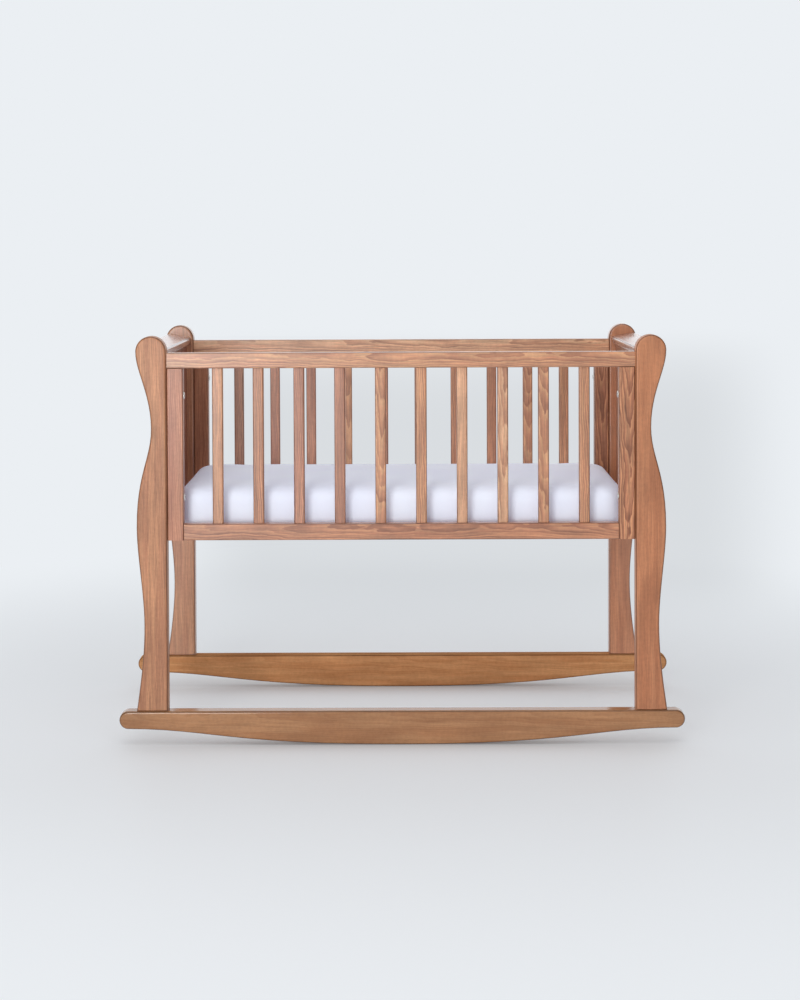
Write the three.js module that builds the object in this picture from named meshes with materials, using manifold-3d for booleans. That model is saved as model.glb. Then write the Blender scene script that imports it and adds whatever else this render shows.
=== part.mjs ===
// Wooden baby cradle on two rockers: four shaped posts, two slatted side panels, two board ends,
// a slatted mattress base and a foam mattress.
// Millimetres. +X is the cradle's length, -Y its front, +Z up. The origin is the middle of the
// footprint, at the height of the floor that the rockers rest on.
import * as THREE from "three";
import { mergeVertices } from "three/addons/utils/BufferGeometryUtils.js";
import Module from "manifold-3d";

const wasm = await Module();
wasm.setup();

// ---- driving dimensions ----

const GAP = 0.3; // between pieces that touch

const HALF_INSIDE = 468; // from the middle to a post's straight inner edge, along X
const HALF_DEPTH = 242.5; // from the middle to a post's outer face, along Y
const POST_THICKNESS = 30;

// The rear rocker is cut a little larger than the front one.
const ROCKER_SIZES = {
  front: { top: 68, halfLength: 566.5, tipRadius: 18 },
  rear: { top: 71.8, halfLength: 598, tipRadius: 19 },
};
const ROCKER_EDGE = {
  flatHalf: 20, // level stretch in the middle of the lower edge
  curveShare: 0.556, // of the half length, over which the lower edge leaves the floor gently
  tipShare: 0.265, // of the half length, over which it runs level before the tip
};

// A post's outer edge, from the foot up: its distance from the straight inner edge at height z,
// and how far the curve runs upright below and above that height.
const POST_FOOT = { width: 63, lean: 4, above: 32 };
const POST_ANKLE = { width: 47, z: 240, below: 70, above: 65 };
const POST_BELLY = { width: 61.2, z: 436, below: 55, above: 110 };
const POST_WAIST = { width: 31.3, z: 635, below: 60, above: 70 };
const POST_HEAD = { radius: 30.8, z: 789, below: 40 };

const PANEL = {
  thickness: 22,
  recess: 6, // from the posts' outer face
  bottom: 410.6,
  bottomRailTop: 443.5,
  topRailBottom: 755,
  top: 786,
  stileWidth: 32.7,
  railEndGap: 0.8, // between the bottom rail and a stile
  edgeRadius: 2.5,
};

const SLAT = { count: 10, width: 21.8, pitch: 81.5, thickness: 13, edgeRadius: 3 };

const END_BOARD = { inner: 483.5, thickness: 14, bottom: PANEL.bottom, top: 773, edgeRadius: 1.5 };

const CAP = {
  width: 52,
  thickness: 20,
  centreX: 501,
  centreZ: 787,
  tiltDegrees: 11,
  edgeRadius: 6,
};

const CLEAT = { thickness: 20, top: 424.7, halfLength: 430 };
const BASE_SLAT = { count: 7, width: 60, thickness: 9, pitch: 130, halfLength: 213 };

const MATTRESS = {
  length: 920,
  width: 410,
  bottom: 434.5,
  thickness: 73.5,
  cornerRadius: 60,
  edgeRadius: 18,
};

const PANEL_BOLT = { shankRadius: 3, headRadius: 7, headHeight: 2.2, length: 60, heights: [496, 700] };
const ROCKER_BOLT = { shankRadius: 4, headRadius: 7, headHeight: 6, headBottom: 40, top: 115, x: 499 };
const BOLT_TIP = { length: 1.5, inset: 1.2 };
const COUNTERBORE_RADIUS = 9;
const SHANK_CLEARANCE = 0.3;
const HOLE_SPARE = 2; // beyond a bolt's tip
const HOLE_OVERRUN = 10; // out of a board, so that a hole breaks through its face
const ROUND_SIDES = 12;
const HIDDEN_EDGE_RADIUS = 1.5; // on boards of the mattress base

// ---- where the boards lie, from the driving dimensions ----

const POST_MID_Y = HALF_DEPTH - POST_THICKNESS / 2;
const PANEL_MID_Y = HALF_DEPTH - PANEL.recess - PANEL.thickness / 2;
const PANEL_INNER_Y = PANEL_MID_Y - PANEL.thickness / 2;
const BETWEEN_POSTS = HALF_DEPTH - POST_THICKNESS - GAP;
const STILE_INNER_X = HALF_INSIDE - PANEL.stileWidth;

// ---- materials ----

const wood = (color) => new THREE.MeshStandardMaterial({ color, roughness: 0.45, metalness: 0 });
const MATERIALS = {
  frame: wood(0xb98a63),
  slats: wood(0xb07f5c),
  base: wood(0xc79b6e),
  cover: new THREE.MeshStandardMaterial({ color: 0xeceef5, roughness: 0.9, metalness: 0 }),
  steel: new THREE.MeshStandardMaterial({ color: 0xc9c9c6, roughness: 0.3, metalness: 1 }),
};

const cradle = new THREE.Group();

function add(name, geometry, material, position = [0, 0, 0], rotation = [0, 0, 0]) {
  const mesh = new THREE.Mesh(geometry, material);
  mesh.name = name;
  mesh.position.set(...position);
  mesh.rotation.set(...rotation);
  cradle.add(mesh);
  return mesh;
}

// ---- geometry helpers ----

// An outline of width by height about the origin, with rounded corners.
function roundedRectangle(width, height, radius) {
  const x = width / 2;
  const y = height / 2;
  const shape = new THREE.Shape();
  shape.moveTo(-x + radius, -y);
  shape.lineTo(x - radius, -y);
  shape.absarc(x - radius, -y + radius, radius, -Math.PI / 2, 0, false);
  shape.lineTo(x, y - radius);
  shape.absarc(x - radius, y - radius, radius, 0, Math.PI / 2, false);
  shape.lineTo(-x + radius, y);
  shape.absarc(-x + radius, y - radius, radius, Math.PI / 2, Math.PI, false);
  shape.lineTo(-x, -y + radius);
  shape.absarc(-x + radius, -y + radius, radius, Math.PI, 1.5 * Math.PI, false);
  return shape;
}

// A shape pulled along its normal and centred on it.
function extruded(shape, depth, curveSegments) {
  const geometry = new THREE.ExtrudeGeometry(shape, { depth, curveSegments, bevelEnabled: false });
  return geometry.translate(0, 0, -depth / 2);
}

// A straight board with its four long edges rounded, along X, Y or Z, between two corners.
function board(axis, low, high, edgeRadius) {
  const size = high.map((value, i) => value - low[i]);
  const middle = high.map((value, i) => (value + low[i]) / 2);
  const sections = { x: [size[2], size[1], size[0]], y: [size[0], size[2], size[1]], z: size };
  const [width, height, length] = sections[axis];
  const geometry = extruded(roundedRectangle(width, height, edgeRadius), length, 2);
  if (axis === "x") geometry.rotateY(Math.PI / 2);
  if (axis === "y") geometry.rotateX(Math.PI / 2);
  return geometry.translate(...middle);
}

function toSolid(geometry) {
  const bare = geometry.clone();
  bare.deleteAttribute("normal");
  bare.deleteAttribute("uv");
  const merged = mergeVertices(bare, 1e-3);
  return new wasm.Manifold(
    new wasm.Mesh({
      numProp: 3,
      vertProperties: merged.attributes.position.array,
      triVerts: new Uint32Array(merged.index.array),
    }),
  );
}

function cut(geometry, tools) {
  const solid = tools.reduce((left, tool) => left.subtract(toSolid(tool)), toSolid(geometry));
  const { vertProperties, triVerts } = solid.getMesh();
  const result = new THREE.BufferGeometry();
  result.setAttribute("position", new THREE.BufferAttribute(vertProperties, 3));
  result.setIndex(new THREE.BufferAttribute(triVerts, 1));
  result.computeVertexNormals();
  return result;
}

// A hole for a bolt: a cylinder between two points of a line along X or Z.
function hole(axis, radius, from, to, [x, y, z]) {
  const geometry = new THREE.CylinderGeometry(radius, radius, to - from, ROUND_SIDES);
  if (axis === "x") return geometry.rotateZ(Math.PI / 2).translate((from + to) / 2, y, z);
  return geometry.rotateX(Math.PI / 2).translate(x, y, (from + to) / 2);
}

// A bolt standing on its head, with its shank along +Z and the underside of its head at z = 0.
function boltGeometry({ shankRadius, headRadius, headHeight }, shankLength) {
  const profile = [
    [0, -headHeight],
    [headRadius * 0.75, -headHeight],
    [headRadius, -headHeight / 2],
    [headRadius, 0],
    [shankRadius, 0],
    [shankRadius, shankLength - BOLT_TIP.length],
    [shankRadius - BOLT_TIP.inset, shankLength],
    [0, shankLength],
  ];
  const points = profile.map(([r, z]) => new THREE.Vector2(r, z));
  return new THREE.LatheGeometry(points, ROUND_SIDES).rotateX(Math.PI / 2);
}

// ---- posts ----

// In the plane of the cradle's front: x runs outward from the straight inner edge, y up.
function postOutline(footZ) {
  const shape = new THREE.Shape();
  shape.moveTo(0, footZ);
  shape.lineTo(POST_FOOT.width, footZ);
  shape.bezierCurveTo(
    POST_FOOT.width - POST_FOOT.lean, footZ + POST_FOOT.above,
    POST_ANKLE.width, POST_ANKLE.z - POST_ANKLE.below,
    POST_ANKLE.width, POST_ANKLE.z,
  );
  shape.bezierCurveTo(
    POST_ANKLE.width, POST_ANKLE.z + POST_ANKLE.above,
    POST_BELLY.width, POST_BELLY.z - POST_BELLY.below,
    POST_BELLY.width, POST_BELLY.z,
  );
  shape.bezierCurveTo(
    POST_BELLY.width, POST_BELLY.z + POST_BELLY.above,
    POST_WAIST.width, POST_WAIST.z - POST_WAIST.below,
    POST_WAIST.width, POST_WAIST.z,
  );
  shape.bezierCurveTo(
    POST_WAIST.width, POST_WAIST.z + POST_WAIST.above,
    2 * POST_HEAD.radius, POST_HEAD.z - POST_HEAD.below,
    2 * POST_HEAD.radius, POST_HEAD.z,
  );
  shape.absarc(POST_HEAD.radius, POST_HEAD.z, POST_HEAD.radius, 0, Math.PI, false);
  return shape;
}

// A right post in the front's place, upright, drilled for two panel bolts and one rocker bolt.
function postGeometry(footZ) {
  const blank = extruded(postOutline(footZ), POST_THICKNESS, 12)
    .rotateX(Math.PI / 2)
    .translate(HALF_INSIDE, -POST_MID_Y, 0);
  const from = HALF_INSIDE - HOLE_OVERRUN;
  const to = STILE_INNER_X + PANEL_BOLT.length + HOLE_SPARE;
  const sideHoles = PANEL_BOLT.heights.map((z) =>
    hole("x", PANEL_BOLT.shankRadius + SHANK_CLEARANCE, from, to, [0, -PANEL_MID_Y, z]),
  );
  const footHole = hole(
    "z", ROCKER_BOLT.shankRadius + SHANK_CLEARANCE, footZ - HOLE_OVERRUN,
    ROCKER_BOLT.top + HOLE_SPARE, [ROCKER_BOLT.x, -POST_MID_Y, 0],
  );
  return cut(blank, [...sideHoles, footHole]);
}

// A mirrored copy, with its triangles turned round so that they still face out.
function mirrored(geometry, x, y) {
  const copy = geometry.clone().scale(x, y, 1);
  if (x * y < 0) {
    const index = copy.index.array;
    for (let i = 0; i < index.length; i += 3) [index[i + 1], index[i + 2]] = [index[i + 2], index[i + 1]];
  }
  copy.computeVertexNormals();
  return copy;
}

const SIDES = [
  { side: "front", y: 1 },
  { side: "rear", y: -1 },
];
const HANDS = [
  { hand: "left", x: -1 },
  { hand: "right", x: 1 },
];

for (const { side, y } of SIDES) {
  const post = postGeometry(ROCKER_SIZES[side].top + GAP);
  for (const { hand, x } of HANDS) add(`${side}_${hand}_post`, mirrored(post, x, y), MATERIALS.frame);
}

// ---- rockers ----

function rockerOutline({ top, halfLength, tipRadius }) {
  const { flatHalf, curveShare, tipShare } = ROCKER_EDGE;
  const curveHandle = curveShare * halfLength;
  const tipHandle = tipShare * halfLength;
  const tipX = halfLength - tipRadius;
  const tipZ = top - tipRadius;
  const underside = tipZ - tipRadius;
  const shape = new THREE.Shape();
  shape.moveTo(-flatHalf, 0);
  shape.lineTo(flatHalf, 0);
  shape.bezierCurveTo(flatHalf + curveHandle, 0, tipX - tipHandle, underside, tipX, underside);
  shape.absarc(tipX, tipZ, tipRadius, -Math.PI / 2, Math.PI / 2, false);
  shape.lineTo(-tipX, top);
  shape.absarc(-tipX, tipZ, tipRadius, Math.PI / 2, 1.5 * Math.PI, false);
  shape.bezierCurveTo(-tipX + tipHandle, underside, -flatHalf - curveHandle, 0, -flatHalf, 0);
  return shape;
}

for (const { side, y } of SIDES) {
  const midY = -y * POST_MID_Y;
  const size = ROCKER_SIZES[side];
  const blank = extruded(rockerOutline(size), POST_THICKNESS, 12)
    .rotateX(Math.PI / 2)
    .translate(0, midY, 0);
  const headTop = ROCKER_BOLT.headBottom + ROCKER_BOLT.headHeight;
  const holes = HANDS.flatMap(({ x }) => {
    const centre = [x * ROCKER_BOLT.x, midY, 0];
    return [
      hole("z", COUNTERBORE_RADIUS, 0, headTop, centre),
      hole("z", ROCKER_BOLT.shankRadius + SHANK_CLEARANCE, headTop - 1, size.top + HOLE_OVERRUN, centre),
    ];
  });
  add(`${side}_rocker`, cut(blank, holes), MATERIALS.frame);
  for (const { hand, x } of HANDS)
    add(
      `${side}_${hand}_rocker_bolt`,
      boltGeometry(ROCKER_BOLT, ROCKER_BOLT.top - headTop),
      MATERIALS.steel,
      [x * ROCKER_BOLT.x, midY, headTop - GAP],
    );
}

// ---- side panels: two rails, two stiles, a row of slats, and the bolts into the posts ----

for (const { side, y } of SIDES) {
  const midY = -y * PANEL_MID_Y;
  const lowY = midY - PANEL.thickness / 2;
  const highY = midY + PANEL.thickness / 2;

  const topHalf = HALF_INSIDE - GAP;
  add(
    `${side}_top_rail`,
    board("x", [-topHalf, lowY, PANEL.topRailBottom], [topHalf, highY, PANEL.top], PANEL.edgeRadius),
    MATERIALS.frame,
  );
  const bottomHalf = STILE_INNER_X - PANEL.railEndGap;
  add(
    `${side}_bottom_rail`,
    board("x", [-bottomHalf, lowY, PANEL.bottom], [bottomHalf, highY, PANEL.bottomRailTop], PANEL.edgeRadius),
    MATERIALS.frame,
  );

  for (const { hand, x } of HANDS) {
    const edges = [x * STILE_INNER_X, x * (HALF_INSIDE - GAP)].sort((a, b) => a - b);
    const stile = board(
      "z", [edges[0], lowY, PANEL.bottom], [edges[1], highY, PANEL.topRailBottom - GAP], PANEL.edgeRadius,
    );
    const holes = PANEL_BOLT.heights.map((z) =>
      hole(
        "x", PANEL_BOLT.shankRadius + SHANK_CLEARANCE, edges[0] - HOLE_OVERRUN, edges[1] + HOLE_OVERRUN,
        [0, midY, z],
      ),
    );
    add(`${side}_${hand}_stile`, cut(stile, holes), MATERIALS.frame);
    PANEL_BOLT.heights.forEach((z, i) =>
      add(
        `${side}_${hand}_${i ? "upper" : "lower"}_bolt`,
        boltGeometry(PANEL_BOLT, PANEL_BOLT.length),
        MATERIALS.steel,
        [x * (STILE_INNER_X - GAP), midY, z],
        [0, (x * Math.PI) / 2, 0],
      ),
    );
  }

  for (let i = 0; i < SLAT.count; i++) {
    const x = (i - (SLAT.count - 1) / 2) * SLAT.pitch;
    const slat = board(
      "z",
      [x - SLAT.width / 2, midY - SLAT.thickness / 2, PANEL.bottomRailTop + GAP],
      [x + SLAT.width / 2, midY + SLAT.thickness / 2, PANEL.topRailBottom - GAP],
      SLAT.edgeRadius,
    );
    add(`${side}_slat_${String(i + 1).padStart(2, "0")}`, slat, MATERIALS.slats);
  }
}

// ---- ends: an upright board and a tilted cap rail between the front and the rear post ----

for (const { hand, x } of HANDS) {
  const faces = [x * END_BOARD.inner, x * (END_BOARD.inner + END_BOARD.thickness)].sort((a, b) => a - b);
  const endBoard = board(
    "y", [faces[0], -BETWEEN_POSTS, END_BOARD.bottom], [faces[1], BETWEEN_POSTS, END_BOARD.top],
    END_BOARD.edgeRadius,
  );
  add(`${hand}_end_board`, endBoard, MATERIALS.frame);

  const cap = extruded(roundedRectangle(CAP.width, CAP.thickness, CAP.edgeRadius), 2 * BETWEEN_POSTS, 3);
  cap.rotateX(Math.PI / 2);
  const tilt = THREE.MathUtils.degToRad(CAP.tiltDegrees);
  add(`${hand}_cap_rail`, cap, MATERIALS.frame, [x * CAP.centreX, 0, CAP.centreZ], [0, -x * tilt, 0]);
}

// ---- mattress base: two cleats on the bottom rails, and slats across them ----

for (const { side, y } of SIDES) {
  const outer = PANEL_INNER_Y - GAP;
  const range = [-y * outer, -y * (outer - CLEAT.thickness)].sort((a, b) => a - b);
  const cleat = board(
    "x", [-CLEAT.halfLength, range[0], PANEL.bottom], [CLEAT.halfLength, range[1], CLEAT.top],
    HIDDEN_EDGE_RADIUS,
  );
  add(`${side}_cleat`, cleat, MATERIALS.base);
}

for (let i = 0; i < BASE_SLAT.count; i++) {
  const x = (i - (BASE_SLAT.count - 1) / 2) * BASE_SLAT.pitch;
  const bottom = CLEAT.top + GAP;
  const slat = board(
    "y",
    [x - BASE_SLAT.width / 2, -BASE_SLAT.halfLength, bottom],
    [x + BASE_SLAT.width / 2, BASE_SLAT.halfLength, bottom + BASE_SLAT.thickness],
    HIDDEN_EDGE_RADIUS,
  );
  add(`base_slat_${i + 1}`, slat, MATERIALS.base);
}

// ---- mattress: a foam block with soft edges, lying loose on the base slats ----

function mattressGeometry() {
  const { length, width, thickness, cornerRadius, edgeRadius } = MATTRESS;
  const shape = roundedRectangle(
    length - 2 * edgeRadius, width - 2 * edgeRadius, cornerRadius - edgeRadius,
  );
  const geometry = new THREE.ExtrudeGeometry(shape, {
    depth: thickness - 2 * edgeRadius,
    curveSegments: 4,
    bevelSize: edgeRadius,
    bevelThickness: edgeRadius,
    bevelSegments: 3,
  });
  return geometry.translate(0, 0, MATTRESS.bottom + edgeRadius);
}
add("mattress", mattressGeometry(), MATERIALS.cover);

export default cradle;
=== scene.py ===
"""A wooden baby cradle on two rockers, with a foam mattress in a white fitted cover.

Everything is in metres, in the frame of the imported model: +X along the cradle, -Y its front, +Z up.
"""

import math

import bmesh
import bpy
import numpy as np
from mathutils import Matrix, Vector


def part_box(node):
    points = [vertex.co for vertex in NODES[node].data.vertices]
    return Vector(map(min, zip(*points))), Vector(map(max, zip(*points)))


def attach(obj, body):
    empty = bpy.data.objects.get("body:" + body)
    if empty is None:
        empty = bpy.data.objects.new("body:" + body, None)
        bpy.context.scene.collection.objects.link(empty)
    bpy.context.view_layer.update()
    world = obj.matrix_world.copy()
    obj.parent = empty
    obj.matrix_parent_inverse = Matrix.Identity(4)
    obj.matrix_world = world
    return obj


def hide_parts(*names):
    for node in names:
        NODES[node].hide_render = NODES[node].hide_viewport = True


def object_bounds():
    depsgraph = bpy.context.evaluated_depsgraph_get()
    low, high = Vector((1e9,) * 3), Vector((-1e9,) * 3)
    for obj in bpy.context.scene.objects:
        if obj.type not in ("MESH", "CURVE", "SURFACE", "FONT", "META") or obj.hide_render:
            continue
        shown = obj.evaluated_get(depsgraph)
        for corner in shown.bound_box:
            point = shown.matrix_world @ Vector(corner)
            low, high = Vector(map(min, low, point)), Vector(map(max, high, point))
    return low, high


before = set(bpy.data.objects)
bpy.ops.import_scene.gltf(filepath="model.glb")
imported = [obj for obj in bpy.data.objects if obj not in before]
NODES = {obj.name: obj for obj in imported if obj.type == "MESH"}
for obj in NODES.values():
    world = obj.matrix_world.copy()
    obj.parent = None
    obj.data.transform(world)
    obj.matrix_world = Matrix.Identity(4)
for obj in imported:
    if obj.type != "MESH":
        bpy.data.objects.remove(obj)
cad_low, cad_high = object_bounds()

SIDES = ("front", "rear")
HANDS = ("left", "right")
BASE_SLATS = 7
MM = 0.001

# ---- camera, light and floor ----

CAMERA_PLACE = (0.0092, cad_low.y - 3.4582, 1.0077)
CAMERA_PITCH, CAMERA_YAW, CAMERA_ROLL = 1.281, 0.229, -0.228  # degrees
LENS, SENSOR = 62.6, 36  # mm
SHIFT = (0.002, -0.220)
WINDOW_PLACE = (-1.25, -4.0, 1.15)
SOFTBOXES = (  # name, place, what it points at, size and power in watts
    ("window", WINDOW_PLACE, (0, 0, 0.5), (1.3, 2.2), 70),
    ("ceiling", (0, -1.0, 2.9), (0, 0, 0.4), (3.0, 2.4), 26),
)
BACKDROP = (0.831, 0.863, 0.896)  # what the camera sees
WINDOW_WAY = Vector((-0.35, -0.90, 0.25)).normalized()
# How bright the room is towards each, on the backdrop's scale. back and wall are both behind the cradle.
ROOM = {"window": 0.50, "side": 0.05, "back": 1.20, "wall": 1.45}
FLOOR = (0.88, 0.89, 0.91)
FLOOR_ROUGHNESS = 0.6
FLOOR_HALF = 20.0
FLOOR_GLOW = 0.38  # share of the backdrop's light in the near floor, which softens the shadows
GLOW_FADES = (0.6, 2.1)  # how far from the middle the floor starts to turn into backdrop, and ends
PAINTED_SHADE_REACH = 0.22  # how far up a thing still darkens the floor's glow below it, as painted shade
GLOW_LEFT_IN_PAINTED_SHADE = 0.3  # the share of glow that is left where the floor is covered: a painted shade under things
PAINTED_LONG_SHADE = 0.16  # how much darker the floor is in the painted long shade behind the cradle


def add_object(name, data):
    piece = bpy.data.objects.new(name, data)
    bpy.context.scene.collection.objects.link(piece)
    return piece


def add_camera():
    data = bpy.data.cameras.new("camera")
    data.lens = LENS
    data.sensor_width = SENSOR
    data.shift_x, data.shift_y = SHIFT
    camera = add_object("camera", data)
    camera.location = CAMERA_PLACE
    turn = Matrix.Rotation(math.radians(CAMERA_YAW), 3, "Z")
    turn @= Matrix.Rotation(math.radians(90 - CAMERA_PITCH), 3, "X")
    turn @= Matrix.Rotation(math.radians(CAMERA_ROLL), 3, "Z")
    camera.rotation_euler = turn.to_euler()
    bpy.context.scene.camera = camera


def add_softbox(name, place, target, size, power):
    data = bpy.data.lights.new(name, "AREA")
    data.shape = "RECTANGLE"
    data.size, data.size_y = size
    data.energy = power
    lamp = add_object(name, data)
    lamp.location = place
    lamp.rotation_euler = (Vector(target) - Vector(place)).to_track_quat("-Z", "Y").to_euler()


# ---- shader nodes ----


class Shader:
    """The node tree of a material or a world, with short calls that add a node and return its output."""

    def __init__(self, owner, surface="Principled BSDF"):
        owner.use_nodes = True
        self.owner = owner
        self.tree = owner.node_tree
        self.surface = self.tree.nodes[surface]

    def feed(self, socket, value):
        if isinstance(value, bpy.types.NodeSocket):
            self.tree.links.new(value, socket)
        elif value is not None:
            socket.default_value = value

    def add(self, kind, inputs=(), **settings):
        node = self.tree.nodes.new("ShaderNode" + kind)
        for key, value in settings.items():
            setattr(node, key, value)
        for key, value in dict(inputs).items():
            self.feed(node.inputs[key], value)
        return node

    def maths(self, operation, *values, clamp=False):
        node = self.add("Math", enumerate(values), operation=operation, use_clamp=clamp)
        return node.outputs[0]

    def vector(self, operation, *values):
        node = self.add("VectorMath", operation=operation)
        for socket, value in zip(node.inputs, values):
            self.feed(socket, value)
        return node.outputs[0]

    def stretched(self, vector, factors):
        return self.vector("MULTIPLY", vector, factors)

    def times(self, vector, factor):
        return self.add("VectorMath", {0: vector, "Scale": factor}, operation="SCALE").outputs[0]

    def product(self, *factors):
        result = factors[0]
        for factor in factors[1:]:
            result = self.maths("MULTIPLY", result, factor)
        return result

    def noise(self, vector, scale=1.0, detail=2.0, roughness=0.5):
        """Smooth noise from 0 to 1, 0.5 on average."""
        node = self.add(
            "TexNoise", {"Vector": vector, "Scale": scale, "Detail": detail, "Roughness": roughness}
        )
        return node.outputs["Fac"]

    def between(self, value, low, high, out_low=0.0, out_high=1.0):
        """A smooth step: value from low to high becomes out_low to out_high."""
        node = self.add(
            "MapRange",
            {"Value": value, "From Min": low, "From Max": high, "To Min": out_low, "To Max": out_high},
            interpolation_type="SMOOTHSTEP",
        )
        return node.outputs["Result"]

    def mix(self, share, first, second, blend="MIX"):
        node = self.add("Mix", data_type="RGBA", blend_type=blend)
        self.feed(node.inputs["Factor"], share)
        self.feed(node.inputs[6], first)
        self.feed(node.inputs[7], second)
        return node.outputs[2]

    def set(self, **values):
        for key, value in values.items():
            self.feed(self.surface.inputs[key.replace("_", " ")], value)

    def bump(self, height, distance, strength):
        node = self.add("Bump", {"Height": height, "Distance": distance, "Strength": strength})
        self.feed(self.surface.inputs["Normal"], node.outputs["Normal"])


def new_material(name):
    return Shader(bpy.data.materials.new(name))


def add_world():
    """A plain pale backdrop, which lights the cradle from the window's side and from the wall behind."""
    world = bpy.data.worlds.new("studio")
    bpy.context.scene.world = world
    shader = Shader(world, "Background")
    way = shader.add("TexCoord").outputs["Generated"]
    towards = shader.add("VectorMath", {0: way, 1: WINDOW_WAY}, operation="DOT_PRODUCT").outputs["Value"]
    back = shader.add("SeparateXYZ", {0: way}).outputs["Y"]
    front_light = shader.between(towards, 0.1, 0.95, ROOM["side"], ROOM["window"])
    back_light = shader.between(back, 0.1, 0.6, 0.0, ROOM["back"])
    wall_light = shader.between(back, 0.8, 0.95, 0.0, ROOM["wall"])
    strength = shader.maths("MAXIMUM", shader.maths("MAXIMUM", front_light, back_light), wall_light)
    seen = shader.add("LightPath").outputs["Is Camera Ray"]
    unseen = shader.product(shader.maths("SUBTRACT", 1.0, seen), strength)
    shader.set(Color=(*BACKDROP, 1), Strength=shader.maths("ADD", seen, unseen))


def painted_long_shade(shader, place):
    """A faint painted shade on the floor behind the cradle and to its right, thrown by no lamp: 1 outside of
    it.

    It widens with the distance from the window, and stays where it is on the floor in every view.
    """
    x, y, _ = shader.add("SeparateXYZ", {0: place}).outputs
    spread = shader.maths("DIVIDE", x, shader.maths("SUBTRACT", y, WINDOW_PLACE[1]))
    left_edge = shader.between(spread, -0.145, -0.073)
    right_edge = shader.between(spread, 0.159, 0.227, 1.0, 0.0)
    near_end = shader.between(y, 0.7, 1.6)
    far_end = shader.between(y, 5.5, 17.0, 1.0, 0.0)
    # painted shade: a darker wedge in the floor's glow
    shade = shader.product(left_edge, right_edge, near_end, far_end, PAINTED_LONG_SHADE)
    return shader.maths("SUBTRACT", 1.0, shade)


def add_floor():
    """A wide level floor that goes over into the backdrop far from the cradle."""
    mesh = bpy.data.meshes.new("floor")
    corners = [(x * FLOOR_HALF, y * FLOOR_HALF, 0) for x, y in ((-1, -1), (1, -1), (1, 1), (-1, 1))]
    mesh.from_pydata(corners, [], [(0, 1, 2, 3)])
    floor = add_object("floor", mesh)

    shader = new_material("floor")
    place = shader.add("TexCoord").outputs["Object"]
    distance = shader.add("VectorMath", {0: place}, operation="LENGTH").outputs["Value"]
    far = shader.between(distance, *GLOW_FADES, FLOOR_GLOW, 1.0)
    shader.set(Base_Color=(*FLOOR, 1), Roughness=FLOOR_ROUGHNESS)
    # The floor's glow is painted light; painted shade dims it under things and behind the cradle.
    open_above = shader.add("AmbientOcclusion", {"Distance": PAINTED_SHADE_REACH}).outputs["AO"]
    painted_contact_shade = shader.between(open_above, 0.3, 1.0, GLOW_LEFT_IN_PAINTED_SHADE, 1.0)
    strength = shader.product(painted_contact_shade, painted_long_shade(shader, place))
    glow = shader.add("Emission", {"Color": (*BACKDROP, 1), "Strength": strength})
    blend = shader.add("MixShader", {0: far, 1: shader.surface.outputs[0], 2: glow.outputs[0]})
    output = shader.tree.nodes["Material Output"]
    shader.tree.links.new(blend.outputs[0], output.inputs["Surface"])
    mesh.materials.append(shader.owner)


# ---- wood ----

# How a board was sawn: where the heart of the tree lies, in mm across the board's face and behind its
# middle, and how far it leans, in mm per mm along the grain. A lean draws the rings out into arches.
SAWN = {
    "cathedral": (3, 13, 0.030),
    "plain": (10, 17, 0.014),
    "flat": (4, 24, 0.045),
    "rift": (30, 26, 0.020),
    "quarter": (88, 14, 0.012),
}

# Stained colours: early wood in its light and its deep streaks, late wood, and the pale line after it.
TONES = {
    "golden": ((0.590, 0.273, 0.134), (0.497, 0.205, 0.102), (0.300, 0.105, 0.045), (0.680, 0.378, 0.182)),
    "honey": ((0.520, 0.235, 0.115), (0.430, 0.175, 0.085), (0.270, 0.092, 0.040), (0.600, 0.310, 0.150)),
    "russet": ((0.530, 0.210, 0.095), (0.440, 0.160, 0.069), (0.260, 0.084, 0.036), (0.610, 0.280, 0.128)),
    "tan": ((0.500, 0.205, 0.098), (0.420, 0.158, 0.074), (0.250, 0.084, 0.036), (0.580, 0.275, 0.130)),
    "rosy": ((0.495, 0.206, 0.114), (0.404, 0.151, 0.084), (0.250, 0.085, 0.046), (0.565, 0.272, 0.143)),
    "brown": ((0.450, 0.190, 0.100), (0.370, 0.145, 0.075), (0.230, 0.082, 0.038), (0.540, 0.260, 0.120)),
    # dark is used as painted shade, on the left end board
    "dark": ((0.380, 0.130, 0.070), (0.308, 0.098, 0.050), (0.205, 0.060, 0.029), (0.440, 0.168, 0.083)),
    "oiled": ((0.430, 0.210, 0.095), (0.370, 0.165, 0.070), (0.290, 0.120, 0.050), (0.500, 0.270, 0.130)),
    "blond": ((0.700, 0.370, 0.205), (0.590, 0.285, 0.155), (0.360, 0.145, 0.072), (0.790, 0.490, 0.280)),
    "bright": ((0.590, 0.290, 0.130), (0.510, 0.228, 0.097), (0.400, 0.166, 0.069), (0.680, 0.370, 0.175)),
    "pale": ((0.720, 0.500, 0.310), (0.650, 0.430, 0.260), (0.540, 0.320, 0.170), (0.760, 0.560, 0.360)),
}

RING_WIDTH = 2.7  # mm

# The noises in the wood: scale per mm across and along the grain, detail and roughness.
WOOD_NOISE = {
    "drift": (0.010, 0.0032, 1, 0.5),
    "sway": (0.030, 0.011, 2, 0.5),
    "ripple": (0.12, 0.035, 2, 0.5),
    "bend": (0.012, 0.009, 2, 0.5),
    "fibre": (0.9, 0.020, 3, 0.65),
    "streak": (0.24, 0.0085, 3, 0.6),
    "band": (0.070, 0.0055, 2, 0.5),
    "cloud": (0.020, 0.009, 2, 0.5),
    "fleck": (0.10, 0.16, 2, 0.5),
    "pore": (2.0, 0.090, 1, 0.5),
}
SWINGS = {"drift": 13, "sway": 5, "ripple": 2.4, "bend": 14}  # how far, in mm, they move the rings
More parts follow.
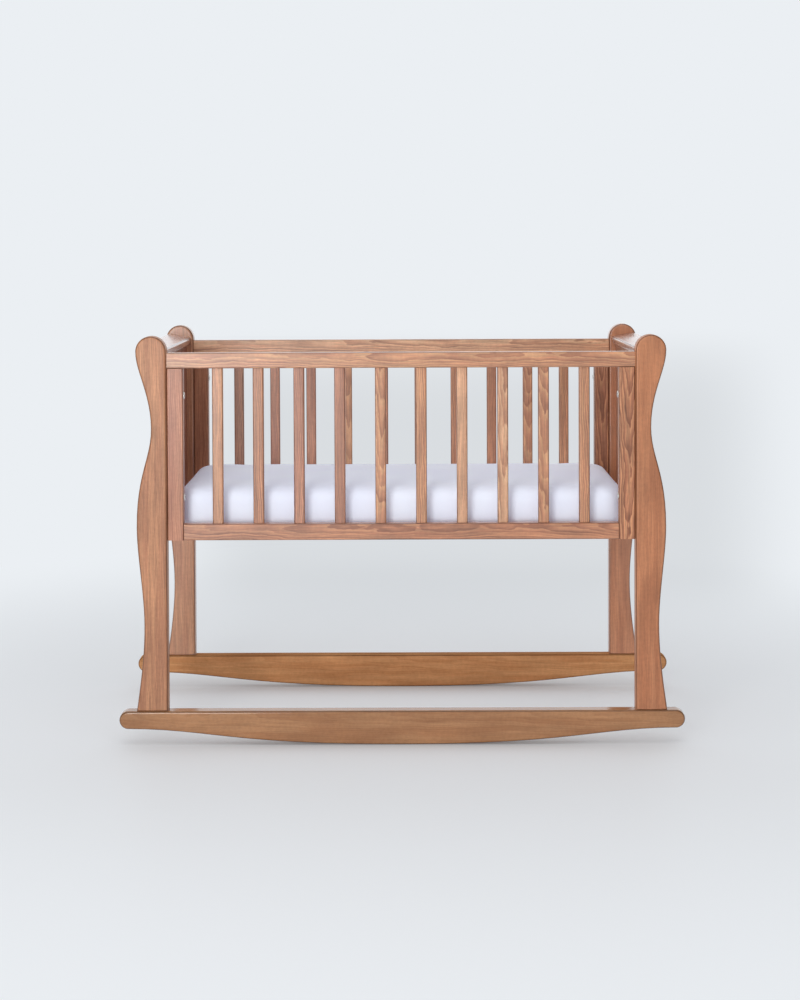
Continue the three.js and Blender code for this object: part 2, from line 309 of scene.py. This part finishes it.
# Where in a noise's range a shade starts and ends, and how far it darkens and lightens the wood.
STREAK_SHADES = {"fibre": (0.25, 0.75, -0.21, 0.19), "streak": (0.30, 0.70, -0.19, 0.17)}
BROAD_SHADES = {"cloud": (0.25, 0.75, -0.10, 0.08), "fleck": (0.30, 0.70, -0.045, 0.035)}
LATE_SHARE, PALE_SHARE = 0.85, 0.5  # of the late wood's and the pale line's own colour
PORE_SHADE, RIM_STAIN_AND_PAINTED_SHADE = 0.80, 0.36  # how light the pores are, and the rounded rims, which are darkened partly by stain and partly as painted shade
STRIP_SHADES = (0.86, 1.10)  # of the darkest and the lightest strip of a board
JOINT_HALF, JOINT_SHADE = 0.8, 0.72  # the dark joint between two strips, in mm, and how light it is
STRIP_SHIFT = 900  # mm along the log, at most, between two strips
WOOD_ROUGHNESS = (0.52, 0.42)  # in the soft and in the hard fibres
GRAIN_DEPTH, GRAIN_STRENGTH = 0.12 * MM, 0.5
LATE_RISE, PORE_DROP, FIBRE_RISE = 0.4, 0.8, 0.5  # shares of the grain's depth


def board_axes(shader, centre, axes):
    """Millimetres across the face, into the board and along the grain, from the board's middle."""
    place = shader.add("TexCoord").outputs["Object"]
    local = shader.stretched(shader.vector("SUBTRACT", place, tuple(centre)), (1 / MM,) * 3)
    parts = shader.add("SeparateXYZ", {0: local}).outputs
    return [parts[axis.upper()] for axis in axes]


def edge_mask(shader, outline_normal=None):
    """1 on a board's rounded edges and 0 on its flat faces. outline_normal is the axis that a
    board with a curved outline is flat along."""
    normal = shader.add("TexCoord").outputs["Normal"]
    parts = shader.add("SeparateXYZ", {0: normal}).outputs
    size = {axis: shader.maths("ABSOLUTE", parts[axis]) for axis in "XYZ"}
    if outline_normal:
        flat = size.pop(outline_normal)
        rim = shader.maths("SQRT", shader.maths("SUBTRACT", 1.0, shader.maths("POWER", flat, 2), clamp=True))
        largest = shader.maths("MAXIMUM", flat, rim)
    else:
        largest = shader.maths("MAXIMUM", shader.maths("MAXIMUM", size["X"], size["Y"]), size["Z"])
    return shader.between(largest, 0.94, 0.72)


def wood_noise(shader, space, kind):
    across, along, detail, roughness = WOOD_NOISE[kind]
    return shader.noise(shader.stretched(space, (across, across, along)), 1.0, detail, roughness)


def swing(shader, space, kind, size=1.0):
    """How far a noise moves the rings to either side, in mm."""
    wave = shader.maths("SUBTRACT", wood_noise(shader, space, kind), 0.5)
    return shader.product(wave, SWINGS[kind] * size)


def growth_rings(shader, space, board, sawn, figure):
    """The growth rings cut by the board: late wood and the pale line after it, each from 0 to 1."""
    across, into, along = board
    heart_across, heart_behind, lean = SAWN[sawn]
    side = shader.maths("SUBTRACT", across, heart_across)
    depth = shader.maths("SUBTRACT", into, heart_behind)
    depth = shader.maths("ADD", depth, shader.product(along, lean))
    for kind in ("drift", "sway"):
        depth = shader.maths("ADD", depth, swing(shader, space, kind, figure))
    squares = shader.maths("ADD", shader.maths("POWER", side, 2), shader.maths("POWER", depth, 2))
    radius = shader.maths("SQRT", squares)
    ripple = shader.product(wood_noise(shader, space, "ripple"), SWINGS["ripple"])
    radius = shader.maths("ADD", radius, ripple)

    rings = shader.maths("DIVIDE", radius, RING_WIDTH)
    ring = shader.maths("FRACT", rings)
    number = shader.maths("FLOOR", rings)
    strength = shader.add("TexWhiteNoise", {"W": number}, noise_dimensions="1D").outputs["Value"]
    rise = shader.between(ring, 0.35, 0.88)
    fall = shader.between(ring, 0.92, 1.0, 1.0, 0.0)
    late = shader.product(rise, fall, shader.between(strength, 0.0, 1.0, 0.3, 1.0))
    pale = shader.between(ring, 0.04, 0.40, 1.0, 0.0)
    return late, pale


def wood(
    name, centre, axes, sawn, tone, seed,
    outline_normal=None, strip=None, figure=1.0, contrast=1.0, gloss=0.4, haze=0.24, shine=0.5, glare=1.5,
):
    """Stained and lacquered solid wood.

    axes says which of x, y and z run across the board's face, into it and along its grain. strip is
    the width in mm of the strips that a wide board is glued from, figure how wild its rings are and
    contrast the strength of its streaks. gloss, haze and glare are the lacquer's weight, roughness
    and refractive index, and shine the specular level of the wood under it.
    """
    shader = new_material(name)
    across, into, along = board_axes(shader, centre, axes)
    shades = []
    if strip:
        number = shader.maths("FLOOR", shader.maths("DIVIDE", across, strip))
        middle = shader.product(shader.maths("ADD", number, 0.5), strip)
        across = shader.maths("SUBTRACT", across, middle)
        dice = shader.add("TexWhiteNoise", {"W": number}, noise_dimensions="1D").outputs["Value"]
        along = shader.maths("ADD", along, shader.product(dice, STRIP_SHIFT))
        from_middle = shader.maths("ABSOLUTE", across)
        shades.append(shader.between(dice, 0.0, 1.0, *STRIP_SHADES))
        shades.append(shader.between(from_middle, strip / 2 - JOINT_HALF, strip / 2, 1.0, JOINT_SHADE))
    offsets = random_offsets(seed)
    space = shader.add("CombineXYZ", {0: across, 1: into, 2: along}).outputs[0]
    bend = swing(shader, shader.vector("ADD", space, offsets), "bend", figure)
    across = shader.maths("ADD", across, bend)
    space = shader.add("CombineXYZ", {0: across, 1: into, 2: along}).outputs[0]
    space = shader.vector("ADD", space, offsets)

    late, pale = growth_rings(shader, space, (across, into, along), sawn, figure)
    noises = {kind: wood_noise(shader, space, kind) for kind in (*STREAK_SHADES, *BROAD_SHADES)}
    pore = shader.between(wood_noise(shader, space, "pore"), 0.60, 0.72)

    light_colour, deep_colour, late_colour, pale_colour = TONES[tone]
    deep = shader.between(wood_noise(shader, space, "band"), 0.36, 0.64)
    colour = shader.mix(deep, (*light_colour, 1), (*deep_colour, 1))
    colour = shader.mix(shader.product(pale, PALE_SHARE * contrast), colour, (*pale_colour, 1))
    colour = shader.mix(shader.product(late, LATE_SHARE * contrast), colour, (*late_colour, 1))
    for kinds, size in ((STREAK_SHADES, contrast), (BROAD_SHADES, 1)):
        for kind, (start, end, darker, lighter) in kinds.items():
            shade = shader.between(noises[kind], start, end, 1 + darker * size, 1 + lighter * size)
            shades.append(shade)
    shades.append(shader.between(pore, 0.0, 1.0, 1.0, PORE_SHADE))
    # Rounded rims darker: partly stain gathered in the edges, partly painted shade.
    shades.append(shader.between(edge_mask(shader, outline_normal), 0.0, 1.0, 1.0, RIM_STAIN_AND_PAINTED_SHADE))

    shader.set(
        Base_Color=shader.times(colour, shader.product(*shades)),
        Roughness=shader.between(noises["fibre"], 0.2, 0.8, *WOOD_ROUGHNESS),
        Specular_IOR_Level=shine,
        Coat_Weight=gloss,
        Coat_Roughness=haze,
        Coat_IOR=glare,
    )
    relief = shader.maths("SUBTRACT", shader.product(late, LATE_RISE), shader.product(pore, PORE_DROP))
    relief = shader.maths("ADD", relief, shader.product(noises["fibre"], FIBRE_RISE))
    shader.bump(relief, GRAIN_DEPTH, GRAIN_STRENGTH)
    return shader.owner


def random_offsets(seed):
    """Where in the endless log a board is cut: far from the others, the same in each run."""
    draw = np.random.default_rng(seed)
    return tuple(float(x) for x in draw.uniform(-5000, 5000, 3))


# ---- wooden pieces ----

RIM_RADIUS = 5 * MM  # on the posts and rockers


def smooth_normals(piece):
    """Smooth shading over the rounded edges, with the flat faces left flat."""
    piece.data.polygons.foreach_set("use_smooth", [True] * len(piece.data.polygons))
    modifier = piece.modifiers.new("weld", "WELD")
    modifier.merge_threshold = 0.01 * MM
    modifier = piece.modifiers.new("flat faces", "WEIGHTED_NORMAL")
    modifier.weight = 90
    modifier.keep_sharp = False


def paint(piece, material):
    piece.data.materials.clear()
    piece.data.materials.append(material)


def middle_of(node):
    low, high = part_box(node)
    return (low + high) / 2


def dress_board(node, axes, sawn, tone, seed, **extra):
    """A straight board of the CAD model gets its wood and smooth edges."""
    piece = NODES[node]
    smooth_normals(piece)
    paint(piece, wood(node + "_wood", middle_of(node), axes, sawn, tone, seed, **extra))


def front_outline(node):
    """The outline of a flat board's front face, as (x, z) points in order."""
    mesh = NODES[node].data
    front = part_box(node)[0].y
    places = [
        (round(v.co.x, 6), round(v.co.z, 6)) if abs(v.co.y - front) < 1e-5 else None for v in mesh.vertices
    ]
    edges = set()
    for polygon in mesh.polygons:
        corners = [places[i] for i in polygon.vertices]
        if None not in corners:
            edges.update(zip(corners, corners[1:] + corners[:1]))
    following = {a: b for a, b in edges if (b, a) not in edges}
    outline = [min(following)]
    while following[outline[-1]] != outline[0]:
        outline.append(following[outline[-1]])
    return outline


def dress_plank(node, slot, axes, sawn, tone, seed, **extra):
    """A board with a curved outline, made again with rounded rims. It stands for its CAD node."""
    low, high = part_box(node)
    bm = bmesh.new()
    ring = [bm.verts.new((x, low.y, z)) for x, z in front_outline(node)]
    face = bm.faces.new(ring)
    moved = bmesh.ops.extrude_face_region(bm, geom=[face])["geom"]
    bmesh.ops.translate(
        bm, vec=(0, high.y - low.y, 0), verts=[v for v in moved if isinstance(v, bmesh.types.BMVert)]
    )
    bmesh.ops.recalc_face_normals(bm, faces=bm.faces)
    rims = [e for e in bm.edges if abs(e.verts[0].co.y - e.verts[1].co.y) < 1e-9]
    bmesh.ops.bevel(bm, geom=rims, offset=RIM_RADIUS, segments=5, profile=0.5, affect="EDGES")
    mesh = bpy.data.meshes.new(node + "_board")
    bm.to_mesh(mesh)
    bm.free()
    piece = add_object(node + "_board", mesh)
    smooth_normals(piece)
    paint(piece, wood(node + "_wood", (low + high) / 2, axes, sawn, tone, seed, outline_normal="Y", **extra))
    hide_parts(node)
    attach(piece, "frame")


# The cut and tone of each slat, from the left: the front side's and then the rear side's.
SLAT_LOOKS = {
    "front": (
        ("quarter", "golden"), ("rift", "tan"), ("rift", "rosy"), ("quarter", "rosy"),
        ("flat", "golden"), ("rift", "golden"), ("quarter", "blond"), ("cathedral", "blond"),
        ("flat", "golden"), ("rift", "golden"),
    ),
    "rear": (
        ("rift", "brown"), ("quarter", "rosy"), ("quarter", "rosy"), ("flat", "golden"),
        ("rift", "rosy"), ("quarter", "brown"), ("rift", "tan"), ("quarter", "tan"),
        ("flat", "golden"), ("rift", "golden"),
    ),
}


def add_wood():
    for s, side in enumerate(SIDES):
        for h, hand in enumerate(HANDS):
            seed = 10 + 2 * s + h
            tone = ("honey", "russet")[h]
            post_look = {"figure": 0.5, "contrast": (0.8, 0.5)[h], "gloss": (0.1, 1.0)[s]}
            dress_plank(f"{side}_{hand}_post", "post_wood", "xyz", "quarter", tone, seed, **post_look)
            sawn = ("rift", "cathedral")[h]
            tone = (("rosy", "tan"), ("brown", "brown"))[s][h]
            dress_board(f"{side}_{hand}_stile", "xyz", sawn, tone, 20 + seed, contrast=(0.5, 1.3)[h])

        rocker_look = {"figure": 0.7, "contrast": 0.3, "gloss": (1.0, 0.0)[s], "haze": 0.15, "shine": 0.0}
        rocker_tone = ("oiled", "bright")[s]
        dress_plank(f"{side}_rocker", "rocker_wood", "zyx", "rift", rocker_tone, 50 + s, **rocker_look)
        rail_look = {"gloss": 1.0, "haze": 0.3}
        tone = ("golden", "blond")[s]
        dress_board(f"{side}_top_rail", "zyx", "plain", tone, 60 + s, **rail_look)
        dress_board(f"{side}_bottom_rail", "zyx", "plain", "tan", 70 + s, **rail_look)
        for i, (sawn, tone) in enumerate(SLAT_LOOKS[side], start=1):
            dress_board(f"{side}_slat_{i:02d}", "xyz", sawn, tone, 100 + 20 * s + i, gloss=0.9, haze=0.3)
        dress_board(f"{side}_cleat", "zyx", "rift", "pale", 80 + s)

    for h, hand in enumerate(HANDS):
        # The left end board's darker tone is painted shade: its inner face lies in shade.
        dress_board(f"{hand}_end_board", "yxz", "flat", ("dark", "brown")[h], 90 + h, strip=71)
        cap_look = {"contrast": 0.5, "gloss": 1.0, "haze": 0.2, "glare": 1.9}
        dress_board(f"{hand}_cap_rail", "xzy", "flat", "rosy", 94 + h, **cap_look)
    for i in range(1, BASE_SLATS + 1):
        dress_board(f"base_slat_{i}", "xzy", "rift", "pale", 150 + i)


# ---- mattress ----

COVER_COLOURS = ((0.83, 0.88, 0.98, 1), (0.85, 0.91, 0.99, 1))
THREAD = 0.7 * MM
CREASE_DEPTH = 4 * MM
PAD_INSET = Vector((1, 3, 0)) * MM  # how much smaller the pad is cut than the block it stands for
PAD_EDGES = (48 * MM, 22 * MM, 4 * MM)  # radii of the upright corners, the top edges and the bottom ones
PAD_GRID = 7 * MM
PUFF_LIMIT = 4 * MM
PUFF_FRAMES = 20


def fabric():
    shader = new_material("cover_cotton")
    place = shader.add("TexCoord").outputs["Object"]
    weave = shader.noise(shader.stretched(place, (1 / THREAD,) * 3), detail=1.0)
    cloud = shader.noise(shader.stretched(place, (9, 9, 9)), detail=2.0)
    creases = shader.noise(shader.stretched(place, (14, 5, 22)), detail=3.0, roughness=0.45)
    colour = shader.mix(shader.between(cloud, 0.3, 0.7), *COVER_COLOURS)
    shader.set(Base_Color=colour, Roughness=0.9, Sheen_Weight=0.25, Sheen_Roughness=0.5)
    # a painted glow: the cover gives off a faint bluish light of its own, which lifts its shaded parts
    shader.set(Emission_Color=(0.62, 0.64, 1.0, 1), Emission_Strength=0.13)
    relief = shader.maths("ADD", shader.product(weave, 0.03), shader.product(creases, 1.0))
    shader.bump(relief, CREASE_DEPTH, 0.5)
    return shader.owner


def rounded_block(name, low, high, corner, top_edge, bottom_edge):
    """A closed block with rounded upright corners and softly rounded top and bottom edges."""
    bm = bmesh.new()
    bmesh.ops.create_cube(bm, size=1.0)
    size, middle = high - low, (high + low) / 2
    for v in bm.verts:
        v.co = Vector(v.co[i] * size[i] + middle[i] for i in range(3))
    upright = [e for e in bm.edges if abs(e.verts[0].co.z - e.verts[1].co.z) > 1e-6]
    bmesh.ops.bevel(bm, geom=upright, offset=corner, segments=10, profile=0.5, affect="EDGES")
    for level, radius in ((low.z, bottom_edge), (high.z, top_edge)):
        rim = [e for e in bm.edges if all(abs(v.co.z - level) < 1e-6 for v in e.verts)]
        bmesh.ops.bevel(bm, geom=rim, offset=radius, segments=6, profile=0.5, affect="EDGES")
    mesh = bpy.data.meshes.new(name)
    bm.to_mesh(mesh)
    bm.free()
    return add_object(name, mesh)


def apply_modifiers(piece):
    bpy.context.view_layer.update()
    depsgraph = bpy.context.evaluated_depsgraph_get()
    mesh = bpy.data.meshes.new_from_object(piece.evaluated_get(depsgraph), depsgraph=depsgraph)
    piece.modifiers.clear()
    piece.data = mesh


def add_mattress():
    low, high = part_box("mattress")
    piece = rounded_block("mattress_pad", low + PAD_INSET, high - PAD_INSET, *PAD_EDGES)
    remesh = piece.modifiers.new("remesh", "REMESH")
    remesh.mode = "VOXEL"
    remesh.voxel_size = PAD_GRID
    apply_modifiers(piece)
    puff_up(piece)
    relax = piece.modifiers.new("relax", "SMOOTH")
    relax.iterations = 3
    relax.factor = 0.5
    subdivide = piece.modifiers.new("subdivide", "SUBSURF")
    subdivide.levels = subdivide.render_levels = 1
    apply_modifiers(piece)
    piece.data.polygons.foreach_set("use_smooth", [True] * len(piece.data.polygons))
    paint(piece, fabric())
    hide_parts("mattress")
    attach(piece, "mattress")


def puff_up(piece):
    """Cloth under pressure from inside, which no point follows further than PUFF_LIMIT."""
    start = np.array([v.co for v in piece.data.vertices])
    cloth = piece.modifiers.new("cloth", "CLOTH")
    settings = cloth.settings
    settings.use_pressure = True
    settings.uniform_pressure_force = 4.0
    settings.effector_weights.gravity = 0.0
    settings.quality = 6
    settings.tension_stiffness = 20
    settings.compression_stiffness = 20
    settings.bending_stiffness = 1.0
    scene = bpy.context.scene
    for number in range(1, PUFF_FRAMES + 1):
        scene.frame_set(number)
    apply_modifiers(piece)
    moved = np.array([v.co for v in piece.data.vertices]) - start
    length = np.linalg.norm(moved, axis=1, keepdims=True)
    moved *= np.minimum(1.0, PUFF_LIMIT / np.maximum(length, 1e-9))
    piece.data.vertices.foreach_set("co", (start + moved).ravel())
    piece.data.update()


# ---- bolts ----

BOLT_SIDES = 36
PANEL_BOLT = (2.2 * MM, 3 * MM)  # the head's height and the shank's radius
ROCKER_BOLT = (6 * MM, 4 * MM)


def steel():
    shader = new_material("nickel")
    place = shader.add("TexCoord").outputs["Object"]
    scratch = shader.noise(shader.stretched(place, (900, 900, 900)), detail=2.0)
    shader.set(
        Base_Color=(0.70, 0.68, 0.65, 1),
        Metallic=1.0,
        Roughness=shader.between(scratch, 0.3, 0.7, 0.22, 0.38),
    )
    return shader.owner


def revolved(name, rings):
    """A closed mesh through rings of points about z, each a height and a radius at every angle."""
    bm = bmesh.new()
    loops = []
    for height, radii in rings:
        turns = [(2 * math.pi * i / len(radii), radius) for i, radius in enumerate(radii)]
        loops.append([bm.verts.new((r * math.cos(a), r * math.sin(a), height)) for a, r in turns])
    for lower, upper in zip(loops, loops[1:]):
        for i in range(len(lower)):
            bm.faces.new((lower[i - 1], lower[i], upper[i], upper[i - 1]))
    bm.faces.new(loops[0][::-1])
    bm.faces.new(loops[-1])
    mesh = bpy.data.meshes.new(name)
    bm.to_mesh(mesh)
    bm.free()
    mesh.polygons.foreach_set("use_smooth", [True] * len(mesh.polygons))
    mesh.set_sharp_from_angle(angle=math.radians(35))
    return mesh


def add_bolt(node, way, head_height, shank, metal):
    """A domed bolt with a hexagonal socket, in the place of its CAD node. way points out of its head."""
    low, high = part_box(node)
    size = high - low
    head, length = min(size) / 2, max(size) - head_height
    key = 0.4 * head  # from the middle to a flat of the socket

    def round_ring(height, radius):
        return height, [radius] * BOLT_SIDES

    def socket_ring(height):
        step = math.pi / 3
        turns = [(2 * math.pi * i / BOLT_SIDES) % step - step / 2 for i in range(BOLT_SIDES)]
        return height, [key / math.cos(turn) for turn in turns]

    rings = [round_ring(-length, shank - MM), round_ring(1.5 * MM - length, shank), round_ring(0, shank)]
    rings.append(round_ring(0, head))
    for angle in range(0, 61, 12):
        rise = 0.3 + 0.7 * math.sin(math.radians(angle)) / math.sin(math.radians(60))
        rings.append(round_ring(rise * head_height, head * (0.35 + 0.65 * math.cos(math.radians(angle)))))
    rings.append(socket_ring(head_height))
    rings.append(socket_ring(0.25 * head_height))

    piece = add_object(node + "_domed", revolved(node + "_domed", rings))
    turn = Vector(way).to_track_quat("Z", "Y").to_matrix().to_4x4()
    centre = (low + high) / 2 + Vector(way) * (max(size) / 2 - head_height)
    piece.data.transform(Matrix.Translation(centre) @ turn)
    paint(piece, metal)
    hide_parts(node)
    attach(piece, "frame")


def add_bolts():
    metal = steel()
    for side in SIDES:
        for hand, inward in zip(HANDS, ((1, 0, 0), (-1, 0, 0))):
            for kind in ("lower_bolt", "upper_bolt"):
                add_bolt(f"{side}_{hand}_{kind}", inward, *PANEL_BOLT, metal)
            add_bolt(f"{side}_{hand}_rocker_bolt", (0, 0, -1), *ROCKER_BOLT, metal)


bpy.context.scene.view_settings.view_transform = "Standard"
add_camera()
add_world()
add_floor()
for softbox in SOFTBOXES:
    add_softbox(*softbox)
add_wood()
add_mattress()
add_bolts()
